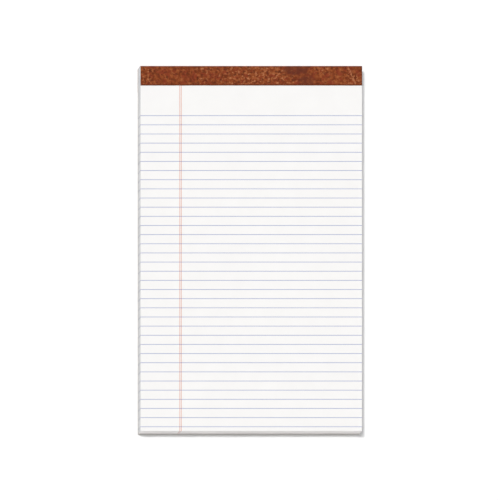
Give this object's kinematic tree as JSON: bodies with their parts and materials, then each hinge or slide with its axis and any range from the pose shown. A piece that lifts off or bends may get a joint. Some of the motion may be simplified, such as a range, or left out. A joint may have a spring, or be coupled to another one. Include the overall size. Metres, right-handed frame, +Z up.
{
  "type": "legal pad",
  "caption": "Ruled writing pad: a block of white sheets on a stiff back board, stitched and bound at its top edge by a folded leatherette strip.",
  "frame": {"origin": "bottom centre of the whole pad's bounding box, on the surface the pad lies on", "axes": "+Z up out of the writing face, +Y towards the bound edge, +X to the right of someone who writes on it"},
  "size_m": [0.216, 0.3558, 0.0062],
  "materials": {
    "ruled_paper": "matte",
    "chipboard": "matte",
    "leatherette_paper": "satin",
    "stitching_wire": "satin"
  },
  "bodies": {
    "root": {"page_block": "ruled_paper", "back_board": "chipboard", "binding_strip": "leatherette_paper", "staple_left": "stitching_wire", "staple_middle": "stitching_wire", "staple_right": "stitching_wire"}
  },
  "joints": []
}
